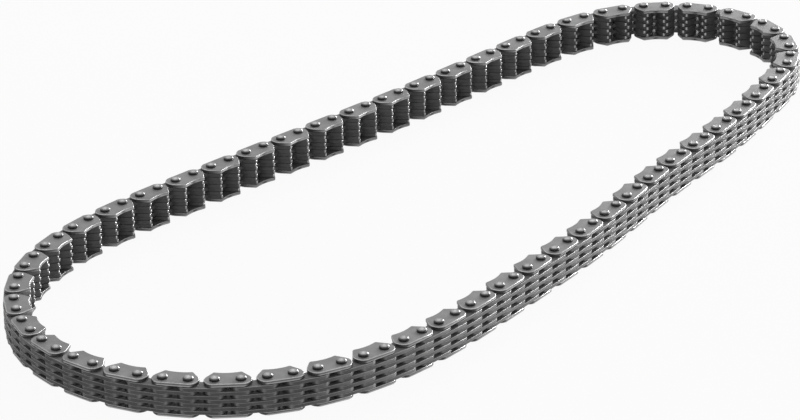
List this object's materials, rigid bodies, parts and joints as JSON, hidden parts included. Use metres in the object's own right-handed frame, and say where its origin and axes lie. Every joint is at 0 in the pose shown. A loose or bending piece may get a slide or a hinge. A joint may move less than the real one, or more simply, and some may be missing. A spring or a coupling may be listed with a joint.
{
  "type": "cam chain",
  "caption": "Endless inverted-tooth cam chain of laced toothed link plates on peened round pins, with guide plates outside, lying flat in an oval loop.",
  "frame": {"origin": "middle of the loop's box, on the plane that the lower pin ends rest on", "axes": "+Z along the pins, upwards; +X along the loop's length, from the wide bend to the tight one"},
  "size_m": [0.284, 0.1162, 0.0106],
  "materials": {
    "chain_steel": "satin, tumbled steel, darker between the plates",
    "guide_plate_steel": "satin, tumbled steel",
    "toothed_plate_steel": "dark hardened steel, bright on the edges",
    "pin_steel": "bright steel, peened ends"
  },
  "bodies": {
    "near_link": {"near_lower_guide_plate": "guide_plate_steel", "near_upper_guide_plate": "guide_plate_steel", "near_pins": "pin_steel", "near_guide_row_plates": "toothed_plate_steel", "near_articulating_row_plates": "toothed_plate_steel"},
    "link_02": {"link_02": "chain_steel"},
    "link_03": {"link_03": "chain_steel"},
    "link_04": {"link_04": "chain_steel"},
    "link_05": {"link_05": "chain_steel"},
    "link_06": {"link_06": "chain_steel"},
    "link_07": {"link_07": "chain_steel"},
    "link_08": {"link_08": "chain_steel"},
    "link_09": {"link_09": "chain_steel"},
    "link_10": {"link_10": "chain_steel"},
    "link_11": {"link_11": "chain_steel"},
    "link_12": {"link_12": "chain_steel"},
    "link_13": {"link_13": "chain_steel"},
    "link_14": {"link_14": "chain_steel"},
    "link_15": {"link_15": "chain_steel"},
    "link_16": {"link_16": "chain_steel"},
    "link_17": {"link_17": "chain_steel"},
    "link_18": {"link_18": "chain_steel"},
    "link_19": {"link_19": "chain_steel"},
    "link_20": {"link_20": "chain_steel"},
    "link_21": {"link_21": "chain_steel"},
    "link_22": {"link_22": "chain_steel"},
    "link_23": {"link_23": "chain_steel"},
    "link_24": {"link_24": "chain_steel"},
    "link_25": {"link_25": "chain_steel"},
    "link_26": {"link_26": "chain_steel"},
    "far_link": {"far_lower_guide_plate": "guide_plate_steel", "far_upper_guide_plate": "guide_plate_steel", "far_pins": "pin_steel", "far_guide_row_plates": "toothed_plate_steel", "far_articulating_row_plates": "toothed_plate_steel"},
    "link_28": {"link_28": "chain_steel"},
    "link_29": {"link_29": "chain_steel"},
    "link_30": {"link_30": "chain_steel"},
    "link_31": {"link_31": "chain_steel"},
    "link_32": {"link_32": "chain_steel"},
    "link_33": {"link_33": "chain_steel"},
    "link_34": {"link_34": "chain_steel"},
    "link_35": {"link_35": "chain_steel"},
    "link_36": {"link_36": "chain_steel"},
    "link_37": {"link_37": "chain_steel"},
    "link_38": {"link_38": "chain_steel"},
    "link_39": {"link_39": "chain_steel"},
    "link_40": {"link_40": "chain_steel"},
    "link_41": {"link_41": "chain_steel"},
    "link_42": {"link_42": "chain_steel"},
    "link_43": {"link_43": "chain_steel"},
    "link_44": {"link_44": "chain_steel"},
    "link_45": {"link_45": "chain_steel"},
    "link_46": {"link_46": "chain_steel"},
    "link_47": {"link_47": "chain_steel"},
    "link_48": {"link_48": "chain_steel"},
    "link_49": {"link_49": "chain_steel"},
    "link_50": {"link_50": "chain_steel"},
    "link_51": {"link_51": "chain_steel"},
    "link_52": {"link_52": "chain_steel"}
  },
  "joints": [
    {"name": "pivot_link_02", "type": "hinge", "parent": "near_link", "child": "link_02", "pos_m": [-0.13842, -0.0087, 0], "axis": [0, 0, 1], "range_deg": [-4.66, 2.8]},
    {"name": "pivot_link_03", "type": "hinge", "parent": "link_02", "child": "link_03", "pos_m": [-0.13465, -0.0208, 0], "axis": [0, 0, 1], "range_deg": [-14.89, 23.11]},
    {"name": "pivot_link_04", "type": "hinge", "parent": "link_03", "child": "link_04", "pos_m": [-0.1281, -0.03165, 0], "axis": [0, 0, 1], "range_deg": [-14.88, 23.12]},
    {"name": "pivot_link_05", "type": "hinge", "parent": "link_04", "child": "link_05", "pos_m": [-0.11916, -0.04065, 0], "axis": [0, 0, 1], "range_deg": [-14.54, 23.46]},
    {"name": "pivot_link_06", "type": "hinge", "parent": "link_05", "child": "link_06", "pos_m": [-0.10843, -0.0474, 0], "axis": [0, 0, 1], "range_deg": [-13.76, 24.24]},
    {"name": "pivot_link_07", "type": "hinge", "parent": "link_06", "child": "link_07", "pos_m": [-0.09656, -0.05188, 0], "axis": [0, 0, 1], "range_deg": [-12.71, 25.29]},
    {"name": "pivot_link_08", "type": "hinge", "parent": "link_07", "child": "link_08", "pos_m": [-0.08411, -0.05436, 0], "axis": [0, 0, 1], "range_deg": [-11.51, 26.49]},
    {"name": "pivot_link_09", "type": "hinge", "parent": "link_08", "child": "link_09", "pos_m": [-0.07145, -0.05531, 0], "axis": [0, 0, 1], "range_deg": [-10.31, 27.69]},
    {"name": "pivot_link_10", "type": "hinge", "parent": "link_09", "child": "link_10", "pos_m": [-0.05876, -0.05522, 0], "axis": [0, 0, 1], "range_deg": [-9.26, 28.74]},
    {"name": "pivot_link_11", "type": "hinge", "parent": "link_10", "child": "link_11", "pos_m": [-0.04607, -0.05458, 0], "axis": [0, 0, 1], "range_deg": [-8.48, 29.52]},
    {"name": "pivot_link_12", "type": "hinge", "parent": "link_11", "child": "link_12", "pos_m": [-0.0334, -0.0537, 0], "axis": [0, 0, 1], "range_deg": [-8.14, 29.86]},
    {"name": "pivot_link_13", "type": "hinge", "parent": "link_12", "child": "link_13", "pos_m": [-0.02074, -0.05275, 0], "axis": [0, 0, 1], "range_deg": [-8.38, 29.62]},
    {"name": "pivot_link_14", "type": "hinge", "parent": "link_13", "child": "link_14", "pos_m": [-0.00809, -0.05162, 0], "axis": [0, 0, 1], "range_deg": [-8.98, 29.02]},
    {"name": "pivot_link_15", "type": "hinge", "parent": "link_14", "child": "link_15", "pos_m": [0.00452, -0.05007, 0], "axis": [0, 0, 1], "range_deg": [-9.12, 28.88]},
    {"name": "pivot_link_16", "type": "hinge", "parent": "link_15", "child": "link_16", "pos_m": [0.01705, -0.04806, 0], "axis": [0, 0, 1], "range_deg": [-8.32, 29.68]},
    {"name": "pivot_link_17", "type": "hinge", "parent": "link_16", "child": "link_17", "pos_m": [0.02957, -0.04591, 0], "axis": [0, 0, 1], "range_deg": [-7.19, 30.81]},
    {"name": "pivot_link_18", "type": "hinge", "parent": "link_17", "child": "link_18", "pos_m": [0.04214, -0.04409, 0], "axis": [0, 0, 1], "range_deg": [-6.88, 31.12]},
    {"name": "pivot_link_19", "type": "hinge", "parent": "link_18", "child": "link_19", "pos_m": [0.05477, -0.04273, 0], "axis": [0, 0, 1], "range_deg": [-7.86, 30.14]},
    {"name": "pivot_link_20", "type": "hinge", "parent": "link_19", "child": "link_20", "pos_m": [0.0674, -0.04141, 0], "axis": [0, 0, 1], "range_deg": [-9.14, 28.86]},
    {"name": "pivot_link_21", "type": "hinge", "parent": "link_20", "child": "link_21", "pos_m": [0.07997, -0.03963, 0], "axis": [0, 0, 1], "range_deg": [-9.45, 28.55]},
    {"name": "pivot_link_22", "type": "hinge", "parent": "link_21", "child": "link_22", "pos_m": [0.09244, -0.03723, 0], "axis": [0, 0, 1], "range_deg": [-8.94, 29.06]},
    {"name": "pivot_link_23", "type": "hinge", "parent": "link_22", "child": "link_23", "pos_m": [0.10483, -0.03444, 0], "axis": [0, 0, 1], "range_deg": [-8.37, 29.63]},
    {"name": "pivot_link_24", "type": "hinge", "parent": "link_23", "child": "link_24", "pos_m": [0.11708, -0.03111, 0], "axis": [0, 0, 1], "range_deg": [-16.86, 21.14]},
    {"name": "pivot_link_25", "type": "hinge", "parent": "link_24", "child": "link_25", "pos_m": [0.1279, -0.02456, 0], "axis": [0, 0, 1], "range_deg": [-18.64, 19.36]},
    {"name": "pivot_link_26", "type": "hinge", "parent": "link_25", "child": "link_26", "pos_m": [0.1356, -0.01453, 0], "axis": [0, 0, 1], "range_deg": [-18.64, 19.36]},
    {"name": "pivot_far_link", "type": "hinge", "parent": "link_26", "child": "far_link", "pos_m": [0.13915, -0.00239, 0], "axis": [0, 0, 1], "range_deg": [-18.64, 19.36]},
    {"name": "pivot_link_52", "type": "hinge", "parent": "near_link", "child": "link_52", "pos_m": [-0.1392, 0.00396, 0], "axis": [0, 0, -1], "range_deg": [-14.89, 23.11]},
    {"name": "pivot_link_51", "type": "hinge", "parent": "link_52", "child": "link_51", "pos_m": [-0.13695, 0.01643, 0], "axis": [0, 0, -1], "range_deg": [-14.89, 23.11]},
    {"name": "pivot_link_50", "type": "hinge", "parent": "link_51", "child": "link_50", "pos_m": [-0.13179, 0.02801, 0], "axis": [0, 0, -1], "range_deg": [-14.89, 23.11]},
    {"name": "pivot_link_49", "type": "hinge", "parent": "link_50", "child": "link_49", "pos_m": [-0.12402, 0.03803, 0], "axis": [0, 0, -1], "range_deg": [-14.89, 23.11]},
    {"name": "pivot_link_48", "type": "hinge", "parent": "link_49", "child": "link_48", "pos_m": [-0.11409, 0.04591, 0], "axis": [0, 0, -1], "range_deg": [-14.66, 23.34]},
    {"name": "pivot_link_47", "type": "hinge", "parent": "link_48", "child": "link_47", "pos_m": [-0.10262, 0.05131, 0], "axis": [0, 0, -1], "range_deg": [-13.79, 24.21]},
    {"name": "pivot_link_46", "type": "hinge", "parent": "link_47", "child": "link_46", "pos_m": [-0.09029, 0.05431, 0], "axis": [0, 0, -1], "range_deg": [-12.52, 25.48]},
    {"name": "pivot_link_45", "type": "hinge", "parent": "link_46", "child": "link_45", "pos_m": [-0.07764, 0.05535, 0], "axis": [0, 0, -1], "range_deg": [-11.07, 26.93]},
    {"name": "pivot_link_44", "type": "hinge", "parent": "link_45", "child": "link_44", "pos_m": [-0.06495, 0.05502, 0], "axis": [0, 0, -1], "range_deg": [-9.7, 28.3]},
    {"name": "pivot_link_43", "type": "hinge", "parent": "link_44", "child": "link_43", "pos_m": [-0.0523, 0.05392, 0], "axis": [0, 0, -1], "range_deg": [-8.64, 29.36]},
    {"name": "pivot_link_42", "type": "hinge", "parent": "link_43", "child": "link_42", "pos_m": [-0.03967, 0.05253, 0], "axis": [0, 0, -1], "range_deg": [-8.14, 29.86]},
    {"name": "pivot_link_41", "type": "hinge", "parent": "link_42", "child": "link_41", "pos_m": [-0.02706, 0.05106, 0], "axis": [0, 0, -1], "range_deg": [-8.13, 29.87]},
    {"name": "pivot_link_40", "type": "hinge", "parent": "link_41", "child": "link_40", "pos_m": [-0.01445, 0.04954, 0], "axis": [0, 0, -1], "range_deg": [-8.13, 29.87]},
    {"name": "pivot_link_39", "type": "hinge", "parent": "link_40", "child": "link_39", "pos_m": [-0.00185, 0.04795, 0], "axis": [0, 0, -1], "range_deg": [-8.08, 29.92]},
    {"name": "pivot_link_38", "type": "hinge", "parent": "link_39", "child": "link_38", "pos_m": [0.01075, 0.04634, 0], "axis": [0, 0, -1], "range_deg": [-7.84, 30.16]},
    {"name": "pivot_link_37", "type": "hinge", "parent": "link_38", "child": "link_37", "pos_m": [0.02335, 0.04479, 0], "axis": [0, 0, -1], "range_deg": [-7.56, 30.44]},
    {"name": "pivot_link_36", "type": "hinge", "parent": "link_37", "child": "link_36", "pos_m": [0.03598, 0.04343, 0], "axis": [0, 0, -1], "range_deg": [-7.46, 30.54]},
    {"name": "pivot_link_35", "type": "hinge", "parent": "link_36", "child": "link_35", "pos_m": [0.04863, 0.04231, 0], "axis": [0, 0, -1], "range_deg": [-7.61, 30.39]},
    {"name": "pivot_link_34", "type": "hinge", "parent": "link_35", "child": "link_34", "pos_m": [0.06129, 0.04135, 0], "axis": [0, 0, -1], "range_deg": [-7.9, 30.1]},
    {"name": "pivot_link_33", "type": "hinge", "parent": "link_34", "child": "link_33", "pos_m": [0.07396, 0.04044, 0], "axis": [0, 0, -1], "range_deg": [-8.11, 29.89]},
    {"name": "pivot_link_32", "type": "hinge", "parent": "link_33", "child": "link_32", "pos_m": [0.08662, 0.03948, 0], "axis": [0, 0, -1], "range_deg": [-8.74, 29.26]},
    {"name": "pivot_link_31", "type": "hinge", "parent": "link_32", "child": "link_31", "pos_m": [0.09925, 0.03815, 0], "axis": [0, 0, -1], "range_deg": [-11.09, 26.91]},
    {"name": "pivot_link_30", "type": "hinge", "parent": "link_31", "child": "link_30", "pos_m": [0.11165, 0.03544, 0], "axis": [0, 0, -1], "range_deg": [-14.23, 23.77]},
    {"name": "pivot_link_29", "type": "hinge", "parent": "link_30", "child": "link_29", "pos_m": [0.12316, 0.03013, 0], "axis": [0, 0, -1], "range_deg": [-17.09, 20.91]},
    {"name": "pivot_link_28", "type": "hinge", "parent": "link_29", "child": "link_28", "pos_m": [0.13244, 0.02154, 0], "axis": [0, 0, -1], "range_deg": [-18.59, 19.41]}
  ],
  "couplings": [
    {"joint": "pivot_link_03", "follows": "pivot_link_02", "ratio": 0.97482},
    {"joint": "pivot_link_04", "follows": "pivot_link_02", "ratio": 1.0459},
    {"joint": "pivot_link_05", "follows": "pivot_link_02", "ratio": 1.129},
    {"joint": "pivot_link_06", "follows": "pivot_link_02", "ratio": 1.2078},
    {"joint": "pivot_link_07", "follows": "pivot_link_02", "ratio": 0.89572},
    {"joint": "pivot_link_08", "follows": "pivot_link_02", "ratio": -0.26131},
    {"joint": "pivot_link_09", "follows": "pivot_link_02", "ratio": -0.93619},
    {"joint": "pivot_link_10", "follows": "pivot_link_02", "ratio": -0.99885},
    {"joint": "pivot_link_11", "follows": "pivot_link_02", "ratio": -1.1385},
    {"joint": "pivot_link_12", "follows": "pivot_link_02", "ratio": -1.3329},
    {"joint": "pivot_link_13", "follows": "pivot_link_02", "ratio": -1.1248},
    {"joint": "pivot_link_14", "follows": "pivot_link_02", "ratio": -0.77393},
    {"joint": "pivot_link_15", "follows": "pivot_link_02", "ratio": -0.584},
    {"joint": "pivot_link_16", "follows": "pivot_link_02", "ratio": -0.72811},
    {"joint": "pivot_link_17", "follows": "pivot_link_02", "ratio": -1.0549},
    {"joint": "pivot_link_18", "follows": "pivot_link_02", "ratio": -1.2142},
    {"joint": "pivot_link_19", "follows": "pivot_link_02", "ratio": -0.9096},
    {"joint": "pivot_link_20", "follows": "pivot_link_02", "ratio": -0.44979},
    {"joint": "pivot_link_21", "follows": "pivot_link_02", "ratio": -0.35215},
    {"joint": "pivot_link_22", "follows": "pivot_link_02", "ratio": -0.57581},
    {"joint": "pivot_link_23", "follows": "pivot_link_02", "ratio": -0.32148},
    {"joint": "pivot_link_24", "follows": "pivot_link_02", "ratio": 2.0845},
    {"joint": "pivot_link_25", "follows": "pivot_link_02", "ratio": 2.0792},
    {"joint": "pivot_link_26", "follows": "pivot_link_02", "ratio": 1.6864},
    {"joint": "pivot_far_link", "follows": "pivot_link_02", "ratio": 2.0854},
    {"joint": "pivot_link_52", "follows": "pivot_link_02", "ratio": 0.75419},
    {"joint": "pivot_link_51", "follows": "pivot_link_02", "ratio": 1.1606},
    {"joint": "pivot_link_50", "follows": "pivot_link_02", "ratio": 1.427},
    {"joint": "pivot_link_49", "follows": "pivot_link_02", "ratio": 1.4171},
    {"joint": "pivot_link_48", "follows": "pivot_link_02", "ratio": 1.1721},
    {"joint": "pivot_link_47", "follows": "pivot_link_02", "ratio": 0.52397},
    {"joint": "pivot_link_46", "follows": "pivot_link_02", "ratio": -0.40049},
    {"joint": "pivot_link_45", "follows": "pivot_link_02", "ratio": -0.77161},
    {"joint": "pivot_link_44", "follows": "pivot_link_02", "ratio": -0.76113},
    {"joint": "pivot_link_43", "follows": "pivot_link_02", "ratio": -0.91925},
    {"joint": "pivot_link_42", "follows": "pivot_link_02", "ratio": -1.0909},
    {"joint": "pivot_link_41", "follows": "pivot_link_02", "ratio": -0.96906},
    {"joint": "pivot_link_40", "follows": "pivot_link_02", "ratio": -0.8093},
    {"joint": "pivot_link_39", "follows": "pivot_link_02", "ratio": -0.72468},
    {"joint": "pivot_link_38", "follows": "pivot_link_02", "ratio": -0.76063},
    {"joint": "pivot_link_37", "follows": "pivot_link_02", "ratio": -0.93391},
    {"joint": "pivot_link_36", "follows": "pivot_link_02", "ratio": -0.99658},
    {"joint": "pivot_link_35", "follows": "pivot_link_02", "ratio": -0.9087},
    {"joint": "pivot_link_34", "follows": "pivot_link_02", "ratio": -0.83256},
    {"joint": "pivot_link_33", "follows": "pivot_link_02", "ratio": -0.98213},
    {"joint": "pivot_link_32", "follows": "pivot_link_02", "ratio": -0.82173},
    {"joint": "pivot_link_31", "follows": "pivot_link_02", "ratio": 0.24411},
    {"joint": "pivot_link_30", "follows": "pivot_link_02", "ratio": 0.95114},
    {"joint": "pivot_link_29", "follows": "pivot_link_02", "ratio": 1.737},
    {"joint": "pivot_link_28", "follows": "pivot_link_02", "ratio": 2.1816}
  ]
}
